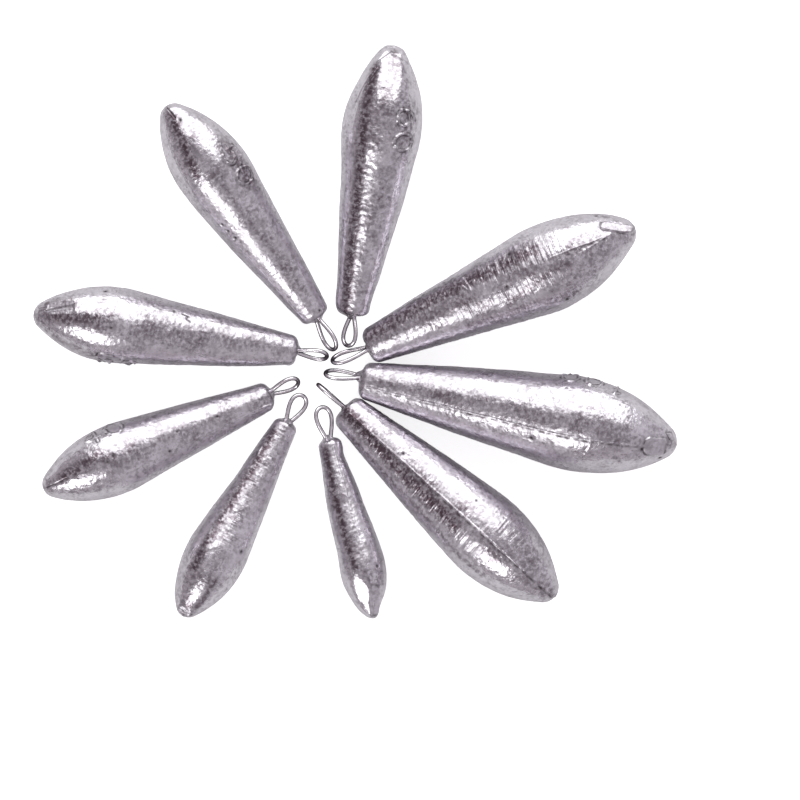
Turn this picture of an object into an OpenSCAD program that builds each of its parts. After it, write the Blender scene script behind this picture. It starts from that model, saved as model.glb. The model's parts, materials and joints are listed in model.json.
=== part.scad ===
// Nine graduated fishing sinkers laid out as a star, with their wire eyes together in the middle.
// Each sinker is a lead casting with a loop of tinned wire cast into its thin end.
// Millimetres, Z up. Seen from above, X runs to the right of the star and Y runs to its top.
// The origin is on the table, under the middle of the star's outline.

/* [Wire eyes] */
// Diameter of the wire
wire_d = 0.8; // [0.6:0.05:1.1]
// Width across the outside of each loop
eye_w = 3.8; // [3.2:0.1:4.8]
// Length of each wire leg inside the lead
leg_in = 4.5; // [3:0.25:6]
// How far the end of each leg is splayed, so that the eye can't pull out
leg_splay = 0.6; // [0.2:0.1:1]
// Gap between the two legs where the loop begins
leg_gap = 0.1; // [0.05:0.05:0.4]
// Length of straight leg between the lead and the loop
leg_out = 0.5; // [0.3:0.1:1]

/* [Casting] */
// Height of the flash along the mould's parting line
flash_h = 0.1; // [0.05:0.05:0.3]
// Thickness of the flash
flash_t = 0.25; // [0.15:0.05:0.5]
// Depth of the flat that is left where the gate was cut off
gate_cut = 0.25; // [0.1:0.05:0.5]
// Least gap between two neighbouring sinkers, seen from above
neighbour_gap = 0.15; // [0.1:0.05:3]

/* [Sinker of 100 g] */
// Length of the lead
len_100 = 61.4; // [52:0.5:75]
// Largest diameter
belly_100 = 18.1; // [15:0.25:22]
// Diameter of the thin end
neck_100 = 7.3; // [5.5:0.1:9]
// Length of the eye outside the lead
eye_100 = 7.6; // [5.5:0.1:9]
// Direction that the sinker points in, in degrees from X towards Y
angle_100 = -11.5; // [-16:0.5:-6]

/* [Sinker of 80 g] */
// Length of the lead
len_80 = 55.7; // [47:0.5:68]
// Largest diameter
belly_80 = 16.7; // [14:0.25:20]
// Diameter of the thin end
neck_80 = 7.1; // [5.5:0.1:8.5]
// Length of the eye outside the lead
eye_80 = 7.9; // [5.5:0.1:9]
// Direction that the sinker points in, in degrees from X towards Y
angle_80 = 24; // [18:0.5:30]

/* [Sinker of 70 g] */
// Length of the lead
len_70 = 53.8; // [46:0.5:66]
// Largest diameter
belly_70 = 16.1; // [13.5:0.25:19.5]
// Diameter of the thin end
neck_70 = 7.1; // [5.5:0.1:8.5]
// Length of the eye outside the lead
eye_70 = 7.5; // [5.5:0.1:9]
// Direction that the sinker points in, in degrees from X towards Y
angle_70 = -42; // [-48:0.5:-36]

/* [Sinker of 60 g] */
// Length of the lead
len_60 = 52.1; // [45:0.5:64]
// Largest diameter
belly_60 = 15.1; // [13:0.25:18.5]
// Diameter of the thin end
neck_60 = 6.4; // [5:0.1:8]
// Length of the eye outside the lead
eye_60 = 6.6; // [5.5:0.1:9]
// Direction that the sinker points in, in degrees from X towards Y
angle_60 = 81; // [75:0.2:86]

/* [Sinker of 55 g] */
// Length of the lead
len_55 = 50.5; // [43:0.5:62]
// Largest diameter
belly_55 = 14.5; // [12.5:0.25:17.5]
// Diameter of the thin end
neck_55 = 6.1; // [4.8:0.1:7.2]
// Length of the eye outside the lead
eye_55 = 6.5; // [5.5:0.1:9]
// Direction that the sinker points in, in degrees from X towards Y
angle_55 = 171.8; // [166:0.2:178]

/* [Sinker of 50 g] */
// Length of the lead
len_50 = 49.5; // [42:0.5:60]
// Largest diameter
belly_50 = 14.3; // [12:0.25:17]
// Diameter of the thin end
neck_50 = 6; // [4.8:0.1:7.2]
// Length of the eye outside the lead
eye_50 = 7.4; // [5.5:0.1:9]
// Direction that the sinker points in, in degrees from X towards Y
angle_50 = 125.4; // [120:0.2:131]

/* [Sinker of 40 g] */
// Length of the lead
len_40 = 46.7; // [40:0.5:57]
// Largest diameter
belly_40 = 13.4; // [11.5:0.25:16.5]
// Diameter of the thin end
neck_40 = 5.7; // [4.6:0.1:7]
// Length of the eye outside the lead
eye_40 = 6.5; // [5.5:0.1:9]
// Direction that the sinker points in, in degrees from X towards Y
angle_40 = -157.4; // [-163:0.2:-152]

/* [Sinker of 30 g] */
// Length of the lead
len_30 = 41.8; // [36:0.5:50]
// Largest diameter
belly_30 = 11.7; // [10:0.25:14.5]
// Diameter of the thin end
neck_30 = 4.8; // [4.2:0.1:6.2]
// Length of the eye outside the lead
eye_30 = 6.5; // [5.5:0.1:9]
// Direction that the sinker points in, in degrees from X towards Y
angle_30 = -118.2; // [-124:0.2:-112]

/* [Sinker of 15 g] */
// Length of the lead
len_15 = 34.4; // [30:0.5:42]
// Largest diameter
belly_15 = 8.9; // [7.6:0.1:11]
// Diameter of the thin end
neck_15 = 4.5; // [3.8:0.1:5.4]
// Length of the eye outside the lead
eye_15 = 7; // [5.5:0.1:9]
// Direction that the sinker points in, in degrees from X towards Y
angle_15 = -75.5; // [-80:0.5:-70]

/* [Hidden] */
$fn = 64;

// Radius of the nose's long arc, as a share of the belly's radius
nose_share = 3.4;
// Radius of the blunt tip, as a share of the belly's radius
tip_share = 0.4;
// Radius of the edge round the neck's face, as a share of the neck's diameter
edge_share = 0.2;
// Fullness of the loop: 0 is an oval and 2 is a narrow teardrop
loop_fullness = 1.5;
// Angle between the tip and the middle of the gate's flat, along the nose's arc
gate_angle = 14;

// Steps of the nose's arc, and of the two small arcs
nose_steps = 18;
edge_steps = 6;
// Sides of the wire, and the loop's first and next steps in degrees
wire_sides = 8;
first_angle = 24;
next_angle = 12;
// Steps for the coarse outline that the spacing is worked out from
rough_steps = 4;
// Angle between the directions that two outlines are compared along
look_angle = 3;
// Least share of a sliding step that counts towards a gap
slide_least_share = 0.05;

// One row for each sinker, in the order in which they are laid down: its weight and sizes, then
// the place of the eye's outer end and its shift to the side, as shares of the eye's width,
// the eye's bend to the side and its roll, the places of the flash round the lead, the place of
// the gate's flat round the lead, and the weights of the neighbours that already lie there.
// Places round a lead are in degrees, from its left side over its top, seen from the eye.
sinkers = [
    [100, len_100, belly_100, neck_100, eye_100, angle_100, [-0.14, -0.28], 6, 60, 0.16, [107, 287], 115, []],
    [80, len_80, belly_80, neck_80, eye_80, angle_80, [0.22, 0.28], -4, 55, -0.03, [80], 68, [100]],
    [60, len_60, belly_60, neck_60, eye_60, angle_60, [1.08, 0.99], 1, 40, 0, [45, 225], 45, [80]],
    [50, len_50, belly_50, neck_50, eye_50, angle_50, [0.46, 0.83], -6, 48, 0, [41, 221], 221, [60, 80]],
    [55, len_55, belly_55, neck_55, eye_55, angle_55, [0.14, 0.54], -1, 58, 0, [128, 308], 119, [50, 80]],
    [70, len_70, belly_70, neck_70, eye_70, angle_70, [-0.48, -0.79], 1, 86, 0.03, [90], 270, [100]],
    [15, len_15, belly_15, neck_15, eye_15, angle_15, [-0.26, -1.89], -2, 18, 0, [75], 72, [70]],
    [30, len_30, belly_30, neck_30, eye_30, angle_30, [-1.12, -1.33], -2, 18, 0, [92], 92, [15]],
    [40, len_40, belly_40, neck_40, eye_40, angle_40, [-1.32, -0.63], 1, 48, -0.08, [57, 237], 237, [30, 55]]
];
// The row of a weight, and what each column holds
weights = [for (s = sinkers) s[0]];
function row_of(weight) = search(weight, weights)[0];
function length_of(s) = s[1];
function belly_of(s) = s[2];
function neck_of(s) = s[3];
function eye_of(s) = s[4];
function angle_of(s) = s[5];
function tip_shares(s) = s[6];
function bend_of(s) = s[7];
function roll_of(s) = s[8];
function side_share(s) = s[9];
function flash_places(s) = s[10];
function gate_place(s) = s[11];
function beside(s) = s[12];

// Distance between the centres of the two legs where the loop begins
leg_pitch = wire_d + leg_gap;
// Half the loop's width along the wire's centre line, less what the legs' own gap adds to it
loop_peak = 2 * atan(sqrt(loop_fullness + 1));
loop_half = (eye_w - wire_d) / 2 - leg_pitch / 2 * cos(loop_peak / 2);
loop_norm = 1 / (sin(loop_peak) * pow(sin(loop_peak / 2), loop_fullness));

// Unit vector at an angle, and the one a quarter turn to its left
function unit(a) = [cos(a), sin(a)];
function left_of(a) = [-sin(a), cos(a)];

// Outline of a lead, from the middle of the neck's face along its left side to the tip.
// A straight cone runs tangent from the neck's rounded edge to the nose's long arc.
function belly_r(s) = belly_of(s) / 2;
function nose_r(s) = nose_share * belly_r(s);
function tip_r(s) = tip_share * belly_r(s);
function edge_r(s) = edge_share * neck_of(s);
function face_r(s) = neck_of(s) / 2 - edge_r(s);
function nose_drop(s) = nose_r(s) - belly_r(s);
function nose_len(s) = sqrt(pow(nose_r(s) - tip_r(s), 2) - pow(nose_drop(s), 2)) + tip_r(s);
function belly_x(s) = length_of(s) - nose_len(s);
function taper(s) =
    let (run = belly_x(s) - edge_r(s))
    let (rise = -nose_drop(s) - face_r(s))
    atan2(rise, run) + asin((nose_r(s) - edge_r(s)) / norm([run, rise]));
function tip_lean(s) = atan2(nose_drop(s), nose_len(s) - tip_r(s));
function arc(centre, r, from, to, steps) =
    [for (k = [0 : steps]) centre + r * unit(from + (to - from) * k / steps)];
function outline(s, n_nose, n_edge) = concat(
    [[0, 0]],
    arc([edge_r(s), face_r(s)], edge_r(s), 180, 90 + taper(s), n_edge),
    arc([belly_x(s), -nose_drop(s)], nose_r(s), 90 + taper(s), tip_lean(s), n_nose),
    arc([length_of(s) - tip_r(s), 0], tip_r(s), tip_lean(s), 0, n_edge)
);
// Height of the middle of the neck's face when the lead lies on the side of its cone
function neck_height(s) = face_r(s) * cos(taper(s)) + edge_r(s) * (1 - sin(taper(s)));

// Centre line of a loop in its own plane: X runs away from the lead, and Y is to the left.
// X follows a half wave out and back, while Y widens slowly from the legs and closes round.
function loop_point(s, t) = [
    leg_out + (eye_of(s) - wire_d / 2 - leg_out) * (1 - cos(t)) / 2,
    leg_pitch / 2 * cos(t / 2) + loop_half * loop_norm * sin(t) * pow(sin(t / 2), loop_fullness)
];
function leg_end(side) = [-leg_in, side * (leg_pitch / 2 + leg_splay)];
function wire_path(s) = concat(
    [leg_end(1), loop_point(s, 0)],
    [for (t = [first_angle : next_angle : 360 - first_angle]) loop_point(s, t)],
    [loop_point(s, 360), leg_end(-1)]
);

// Places seen from above, before the star is centred
function eye_turn(s) = angle_of(s) + 180 + bend_of(s);
function eye_root(s, neck) = neck + side_share(s) * eye_w * left_of(angle_of(s));
function first_neck(s) = tip_shares(s) * eye_w
    - side_share(s) * eye_w * left_of(angle_of(s)) - eye_of(s) * unit(eye_turn(s));
function lead_seen(s, neck) = let (rim = outline(s, rough_steps, rough_steps)) [
    for (side = [-1, 1]) for (p = rim)
        neck + p.x * cos(taper(s)) * unit(angle_of(s)) + side * p.y * left_of(angle_of(s))
];
function eye_seen(s, neck) = [
    for (p = wire_path(s)) if (p.x > 0)
        eye_root(s, neck) + p.x * unit(eye_turn(s)) + p.y * cos(roll_of(s)) * left_of(eye_turn(s))
];

// How far the second shape has to slide along a direction before it clears the first one.
// Both are convex outlines with a rounding, and any straight line that parts them will do.
function slide_past(a, b, rounding, way) = min([
    for (look = [0 : look_angle : 359])
        let (ahead = unit(look))
        let (short = max([for (p = a) p * ahead]) - min([for (p = b) p * ahead]))
        let (need = short + rounding + neighbour_gap)
        need <= 0 ? 0 : need / max(way * ahead, slide_least_share)
]);
function slide_clear(s, neck, other, other_neck) = let (way = unit(angle_of(s))) max(
    slide_past(lead_seen(other, other_neck), lead_seen(s, neck), 0, way),
    slide_past(lead_seen(other, other_neck), eye_seen(s, neck), wire_d / 2, way),
    slide_past(eye_seen(other, other_neck), lead_seen(s, neck), wire_d / 2, way),
    slide_past(eye_seen(other, other_neck), eye_seen(s, neck), wire_d, way)
);
// Each sinker slides out along its own direction until it clears the neighbours beside it
function laid_neck(s, necks) = let (start = first_neck(s)) start + unit(angle_of(s)) * max(
    concat([0], [for (w = beside(s)) slide_clear(s, start, sinkers[row_of(w)], necks[row_of(w)])])
);
function laid(necks) = len(necks) == len(sinkers) ? necks
    : laid(concat(necks, [laid_neck(sinkers[len(necks)], necks)]));
necks = laid([]);

// Furthest reach of the star in a direction, from every ring of every tilted lead
function lead_reach(s, neck, way) =
    let (ahead = unit(angle_of(s)) * way)
    let (across = norm([left_of(angle_of(s)) * way, sin(taper(s)) * ahead]))
    let (rim = outline(s, nose_steps, edge_steps))
    neck * way + max([for (p = rim) p.x * cos(taper(s)) * ahead + p.y * across]);
function star_reach(way) = max([
    for (i = [0 : len(sinkers) - 1]) lead_reach(sinkers[i], necks[i], way)
]);
star_middle = [
    (star_reach([1, 0]) - star_reach([-1, 0])) / 2,
    (star_reach([0, 1]) - star_reach([0, -1])) / 2
];

// Puts a sinker's neck at its place, turned to the sinker's direction but still level
module at_neck(weight) {
    s = sinkers[row_of(weight)];
    place = necks[row_of(weight)] - star_middle;
    translate([place.x, place.y, neck_height(s)]) rotate([0, 0, angle_of(s)]) children();
}

// Frame of a lead: X along its axis from the neck's face, Y to its left, lying on its cone
module lead_frame(weight) {
    at_neck(weight) rotate([0, -taper(sinkers[row_of(weight)]), 0]) children();
}

// Frame of an eye: X level and away from the lead, Y across the loop
module eye_frame(weight) {
    s = sinkers[row_of(weight)];
    at_neck(weight)
        translate([0, side_share(s) * eye_w, 0])
            rotate([0, 0, 180 + bend_of(s)])
                rotate([roll_of(s), 0, 0]) children();
}

// The turned shape of a lead
module lead_body(s) {
    rotate([0, 90, 0])
        rotate_extrude() polygon([for (p = outline(s, nose_steps, edge_steps)) [p.y, p.x]]);
}

// A thin fin of flash along one side of the parting line
module flash(s, place) {
    rim = [for (p = outline(s, nose_steps, edge_steps)) if (p.x > edge_r(s)) p];
    fin = concat([[edge_r(s), 0]], [for (p = rim) [p.x, p.y + flash_h]], [[length_of(s), 0]]);
    rotate([place, 0, 0])
        linear_extrude(height = flash_t, center = true) polygon(fin);
}

// The space that is cut away for the gate's flat, square to the nose's arc
module gate_space(s) {
    lean = tip_lean(s) + gate_angle;
    foot = [belly_x(s), -nose_drop(s)] + (nose_r(s) - gate_cut) * unit(lean);
    rotate([gate_place(s), 0, 0])
        translate([foot.x, foot.y, 0])
            rotate([0, 0, lean])
                translate([0, -belly_r(s), -belly_r(s)]) cube(belly_of(s));
}

// The hole that one leg of the wire fills
module leg_hole(s, side) {
    start = leg_end(side);
    run = [leg_out, side * leg_pitch / 2] - start;
    translate([start.x, start.y, 0])
        rotate([0, 0, atan2(run.y, run.x)])
            rotate([0, 90, 0]) cylinder(d = wire_d, h = norm(run));
}

// One lead casting, with its flash, its gate's flat and the holes that its wire fills
module lead(weight) {
    s = sinkers[row_of(weight)];
    color([0.71, 0.70, 0.73]) difference() {
        lead_frame(weight) difference() {
            union() {
                lead_body(s);
                for (place = flash_places(s)) flash(s, place);
            }
            gate_space(s);
        }
        eye_frame(weight) {
            leg_hole(s, 1);
            leg_hole(s, -1);
        }
    }
}

// A round wire along a flat path: rings square to the path, joined by triangles, with flat ends
module wire(path) {
    last = len(path) - 1;
    rings = [
        for (k = [0 : last])
            let (step = path[min(k + 1, last)] - path[max(k - 1, 0)])
            let (across = [-step.y, step.x] / norm(step))
            for (j = [0 : wire_sides - 1])
                let (out = wire_d / 2 * cos(360 * j / wire_sides))
                let (up = wire_d / 2 * sin(360 * j / wire_sides))
                [path[k].x + out * across.x, path[k].y + out * across.y, up]
    ];
    walls = [
        for (k = [0 : last - 1]) for (j = [0 : wire_sides - 1])
            let (a = k * wire_sides + j)
            let (b = k * wire_sides + (j + 1) % wire_sides)
            for (tri = [[a, b, b + wire_sides], [a, b + wire_sides, a + wire_sides]]) tri
    ];
    caps = [
        for (j = [1 : wire_sides - 2])
            for (tri = [[0, j + 1, j], [0, j, j + 1] + last * wire_sides * [1, 1, 1]]) tri
    ];
    polyhedron(points = rings, faces = concat(walls, caps), convexity = 4);
}

// One wire eye, with its legs inside the lead
module eye(weight) {
    color([0.78, 0.78, 0.80]) eye_frame(weight) wire(wire_path(sinkers[row_of(weight)]));
}

module lead_100g() { lead(100); }
module eye_100g() { eye(100); }
module lead_80g() { lead(80); }
module eye_80g() { eye(80); }
module lead_70g() { lead(70); }
module eye_70g() { eye(70); }
module lead_60g() { lead(60); }
module eye_60g() { eye(60); }
module lead_55g() { lead(55); }
module eye_55g() { eye(55); }
module lead_50g() { lead(50); }
module eye_50g() { eye(50); }
module lead_40g() { lead(40); }
module eye_40g() { eye(40); }
module lead_30g() { lead(30); }
module eye_30g() { eye(30); }
module lead_15g() { lead(15); }
module eye_15g() { eye(15); }

lead_100g();
eye_100g();
lead_80g();
eye_80g();
lead_70g();
eye_70g();
lead_60g();
eye_60g();
lead_55g();
eye_55g();
lead_50g();
eye_50g();
lead_40g();
eye_40g();
lead_30g();
eye_30g();
lead_15g();
eye_15g();
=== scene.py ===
"""Nine graduated fishing sinkers of cast lead, lying as a star with their wire eyes in the middle.

Each lead casting and each wire eye is a surface on a grid of two parameters. Both are worked out
in millimetres in the sinker's own frame, with X along the lead's axis from the neck to the tip,
Y to its left and Z up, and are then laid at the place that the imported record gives.
"""
import json
import math

import bpy
import numpy as np
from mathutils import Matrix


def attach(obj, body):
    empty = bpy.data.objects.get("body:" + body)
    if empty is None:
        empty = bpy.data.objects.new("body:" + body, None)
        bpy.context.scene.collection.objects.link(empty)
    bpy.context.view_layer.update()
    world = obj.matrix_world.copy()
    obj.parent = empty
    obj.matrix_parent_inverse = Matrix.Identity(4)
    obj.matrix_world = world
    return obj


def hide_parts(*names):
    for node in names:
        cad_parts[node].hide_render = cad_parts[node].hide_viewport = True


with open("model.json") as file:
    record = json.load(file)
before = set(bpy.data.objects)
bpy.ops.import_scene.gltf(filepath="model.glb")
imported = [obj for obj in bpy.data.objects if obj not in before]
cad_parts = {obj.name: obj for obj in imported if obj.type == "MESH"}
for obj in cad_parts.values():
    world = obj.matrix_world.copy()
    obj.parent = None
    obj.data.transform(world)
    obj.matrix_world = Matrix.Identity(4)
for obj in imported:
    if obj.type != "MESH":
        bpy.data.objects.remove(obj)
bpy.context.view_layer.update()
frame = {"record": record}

MM = 0.001

# The photograph's width on the table, and the point under its middle, in metres
VIEW_WIDTH = 0.152
VIEW_MIDDLE = (0.008500, -0.013120)
# Height in metres at which the sinkers' outlines lie on average
OUTLINE_HEIGHT = 0.006
# The camera's lens and sensor in millimetres
LENS = 400.0
SENSOR = 36.0

# The sinkers by weight in grams, in millimetres and degrees. length, belly, neck and eye are the
# solids' driving sizes, and angle is the direction in which a lead points. A place round a lead is
# in degrees from its left side over the top, and seam is the place of the parting line. bend turns
# the eye away from the lead's axis, roll turns it about its own, and side shifts it across the neck
# as a share of its width. grain and dents are shares of the usual grain and of the slow waves.
SINKERS = {
    100: dict(length=61.4, belly=18.1, neck=7.3, angle=-11.5, seam=107,
              eye=7.6, bend=6, roll=60, side=0.16, grain=0.9, dents=0.9),
    80: dict(length=55.7, belly=16.7, neck=7.1, angle=24.0, seam=80,
             eye=7.9, bend=-4, roll=55, side=-0.03, grain=1.0, dents=1.0),
    70: dict(length=53.8, belly=16.1, neck=7.1, angle=-42.0, seam=90,
             eye=7.5, bend=1, roll=86, side=0.03, grain=1.0, dents=0.8),
    60: dict(length=52.1, belly=15.1, neck=6.4, angle=81.0, seam=45,
             eye=6.6, bend=1, roll=40, side=0.0, grain=1.3, dents=1.1),
    55: dict(length=50.5, belly=14.5, neck=6.1, angle=171.8, seam=128,
             eye=6.5, bend=-1, roll=58, side=0.0, grain=1.3, dents=0.9),
    50: dict(length=49.5, belly=14.3, neck=6.0, angle=125.4, seam=41,
             eye=7.4, bend=-6, roll=48, side=0.0, grain=0.8, dents=0.7),
    40: dict(length=46.7, belly=13.4, neck=5.7, angle=-157.4, seam=57,
             eye=6.5, bend=1, roll=48, side=-0.08, grain=1.0, dents=0.9),
    30: dict(length=41.8, belly=11.7, neck=4.8, angle=-118.2, seam=92,
             eye=6.5, bend=-2, roll=18, side=0.0, grain=0.9, dents=0.8),
    15: dict(length=34.4, belly=8.9, neck=4.5, angle=-75.5, seam=75,
             eye=7.0, bend=-2, roll=18, side=0.0, grain=1.1, dents=1.0),
}

# Shares that every lead's outline has, as the solids have them: the nose arc's and the tip arc's
# radius for a belly radius of one, and the edge's radius for a neck one wide
NOSE_SHARE = 3.4
TIP_SHARE = 0.4
EDGE_SHARE = 0.2

# The wire and its loop: the wire's and the loop's width, how far the legs run into the lead, their
# splay, the gap between them, how far outside the lead the loop starts, and its fullness
WIRE = 0.8
EYE_WIDTH = 3.8
LEG_IN = 4.5
LEG_SPLAY = 0.6
LEG_GAP = 0.1
LEG_OUT = 0.5
FULLNESS = 1.5
# Where the record's mount lies along a loop, as a share of the loop's length beyond its legs
WIDEST_SHARE = 0.63

# Spacing of the grids: along a lead, round its belly, along a wire, and the sides of a wire
ROW_STEP = 0.165
COLUMN_STEP = 0.255
WIRE_STEP = 0.12
WIRE_SIDES = 24

# How many times closer the columns lie at a seam, and over how many degrees
SEAM_CLOSER, SEAM_CLOSER_WIDTH = 4, 2.5

# Seeds of the random patterns, each one added to the sinker's weight
SEEDS = dict(waves=1, dents=2, grain_patches=3, grain=4, ring_patches=5, rings=6, seam=11, far_seam=12,
             wire=21, crown=31, pits=40, clouds=61, wear=71, rim=81)

# Usual heights of the relief, with the sizes of its waves and patches and the width of the seam
GRAIN_HEIGHT, GRAIN_SIZE, GRAIN_PATCH_SIZE = 0.036, 0.85, 5.0
RING_HEIGHT, RING_SIZE, RING_REACH, RING_PATCH_SIZE = 0.020, 0.55, 4.5, 7.0
DENT_HEIGHT, DENT_SIZE = 0.045, 2.6
WAVE_HEIGHT, WAVE_SIZE = 0.070, 8.0
SEAM_HEIGHT, SEAM_WIDTH, SEAM_STEP, SEAM_GROOVE = 0.09, 0.12, 0.020, 0.018
# How far the parting line wanders, the size of its turns, of its thin stretches and of its grime's
# dashes, and the reach of the step beside it
SEAM_WANDER, WANDER_SIZE, THIN_SIZE, DASH_SIZE, STEP_REACH = 0.10, 3.5, 1.7, 1.2, 2.2
# The width of the lead that crept up each leg, and the crown that the legs stand on
COLLAR_WIDTH, CROWN_HEIGHT, CROWN_SIZE = 0.70, 0.35, 1.6
# Small gas pits on each lead, and the least and most of their share of the length, place, radius
# and depth
PIT_COUNT = 14
PIT_LEAST, PIT_MOST = (0.05, 0, 0.12, 0.02), (0.95, 360, 0.24, 0.07)
# The corner of a cut flat, and the width of the painted shade on its rim and of the breaks in it
FLAT_CORNER, RIM_WIDTH, RIM_SIZE = 0.18, 0.14, 1.3
# How much of its way to the plane a facet's skin moves, and the facet's corner
FACET_SHARE, FACET_CORNER = 0.7, 0.04
# Uneven skin of the wire: its height, the size of its waves and how far they are drawn along it
SKIN_HEIGHT, SKIN_SIZE, SKIN_DRAWN = 0.012, 0.8, 3.0

# Painted shade: a thin dark band along every lead's top, with its strength, place and half width in degrees,
# and its clouds
TOP_SHADE, TOP_PLACE, TOP_WIDTH, CLOUD_SIZE = 0.36, 92, 34, 4.0
# Normals that lean further than this from the axis, in radians, belong to the neck's face
FACE_LEAN = 2.8
# Shares of the length between which a lead's nose grows polished, and its grain fades
POLISHED_FROM, GRAIN_FADES_FROM, NOSE_FROM = 0.66, 0.68, 0.80

# How strongly the mould's turning marks stand out: weight: [(distance along the axis, strength), ...]
RINGS = {
    100: [(0, 0.12), (61, 0.12)],
    80: [(0, 1.2), (14, 1.4), (21, 3.6), (40, 3.4), (46, 0.8)],
    70: [(0, 2.0), (6, 2.6), (38, 2.4), (44, 0.9)],
    60: [(0, 0.8), (20, 0.3), (50, 0.1)],
    55: [(0, 0.12), (50, 0.12)],
    50: [(0, 0.7), (32, 1.1), (40, 0.4)],
    40: [(0, 0.2), (46, 0.2)],
    30: [(0, 1.4), (26, 1.4), (32, 0.5)],
    15: [(0, 0.9), (24, 0.9), (28, 0.4)],
}

# How strongly the parting line stands out: weight: [(distance along the axis, strength), ...]
SEAMS = {
    100: [(0, 0.8), (22, 1.0), (26, 0.7), (38, 0.9), (42, 1.4), (52, 1.2), (56, 0.3)],
    80: [(0, 0.1), (38, 0.1), (43, 0.9), (50, 1.3), (51.5, 0.0)],
    70: [(0, 1.8), (30, 1.8), (38, 1.3), (53, 1.2)],
    60: [(0, 0.25), (40, 0.25), (52, 0.15)],
    55: [(0, 0.2), (50, 0.2)],
    50: [(0, 0.7), (35, 0.4), (49, 0.2)],
    40: [(0, 0.4), (40, 0.2)],
    30: [(0, 0.25), (38, 0.2)],
    15: [(0, 0.6), (25, 0.3)],
}

# Where a casting is fuller or leaner than its mould's plain form, as broad round swells:
# weight: [(distance along, place, radius, height), ...]
SWELLS = {
    100: [(18.0, 0, 9.0, 0.20), (20.0, 180, 9.0, 0.20), (36.0, 0, 3.5, -0.15), (55.0, 180, 5.0, 0.15),
          (59.0, 0, 3.0, -0.20)],
    80: [(51.0, 0, 4.5, 0.28), (52.0, 180, 4.5, -0.25), (10.0, 0, 7.0, 0.10), (37.0, 180, 5.0, 0.08)],
    70: [(20.0, 0, 8.0, 0.20), (34.0, 180, 5.0, -0.17), (50.0, 0, 3.0, -0.10), (52.0, 180, 3.0, -0.20)],
    60: [(25.0, 0, 6.0, -0.20), (23.0, 180, 8.0, 0.26), (49.0, 180, 4.0, -0.28), (45.0, 0, 3.0, -0.15),
         (52.1, 90, 2.2, -0.75), (2.5, 0, 2.2, 0.25), (3.0, 180, 2.5, -0.25), (39.5, 98, 4.2, 0.30)],
    55: [(31.0, 0, 4.0, -0.20), (41.0, 0, 5.0, 0.12), (12.0, 0, 6.0, 0.10), (18.0, 180, 5.0, 0.10),
         (2.0, 0, 2.4, -0.25), (33.5, 62, 4.0, 0.26)],
    50: [(19.0, 0, 6.0, 0.20), (33.0, 0, 3.5, -0.20), (9.0, 180, 6.0, 0.10), (1.0, 0, 2.5, -0.15)],
    40: [(33.0, 180, 4.0, -0.08), (5.0, 180, 4.0, -0.08), (32.5, 76, 3.6, 0.24)],
    30: [(14.0, 180, 4.0, -0.16), (6.0, 0, 5.0, -0.10), (39.0, 180, 2.5, 0.20), (31.0, 94, 3.4, 0.26)],
    15: [(20.0, 0, 6.0, 0.28), (22.0, 180, 4.0, -0.42), (11.0, 180, 4.0, 0.20), (33.0, 0, 2.5, -0.30),
         (33.0, 180, 2.5, 0.38), (34.4, 90, 1.5, 0.45), (3.5, 0, 3.2, -0.36), (24.6, 115, 2.8, 0.24)],
}

# Flats left where the gate was cut off: weight: (distance along, place, half length, half width,
# turn from the axis, depth below the skin, dullness). A negative depth leaves a stub.
GATES = {
    100: (57.8, 108, 1.9, 1.8, 0, 0.12, 1.0),
    80: (52.8, 66, 3.0, 0.95, 24, -0.30, 0.8),
    55: (45.9, 116, 2.5, 1.5, 0, 0.22, 0.4),
    30: (40.9, 95, 0.7, 1.5, 0, 0.08, 0.8),
    15: (31.6, 70, 2.5, 1.1, 0, 0.15, 0.8),
}

# Shiny facets rubbed on the noses: weight: (distance along, place, half length, half width, depth
# below the skin, and the distance and place whose skin it faces the same way as)
FACETS = {
    60: (45.4, 96, 4.8, 3.2, 0.26, 47.6, 98),
    15: (28.8, 114, 2.9, 2.3, 0.15, 30.2, 108),
}

# The weights' raised figures: weight: (figures, distance along the axis, place round the lead,
# share of the usual height that is left)
FIGURES = {
    100: ("100", 43.9, 18.0, 0.8),
    60: ("60", 36.8, 127.0, 1.15),
    50: ("50", 32.9, 132.0, 1.15),
    55: ("55", 34.0, 20.0, 0.9),
    40: ("40", 32.6, 149.0, 0.6),
}
FIGURE_TALL, FIGURE_WIDE, FIGURE_PITCH = 4.1, 3.3, 4.6
FIGURE_STROKE, FIGURE_HEIGHT = 0.64, 0.28
# The painted shade along a figure's feet, its width, and the size of the patches in which figures are worn
FIGURE_FOOT_SHADE, FOOT_WIDTH, WEAR_SIZE = 0.9, 0.18, 0.9
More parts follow.
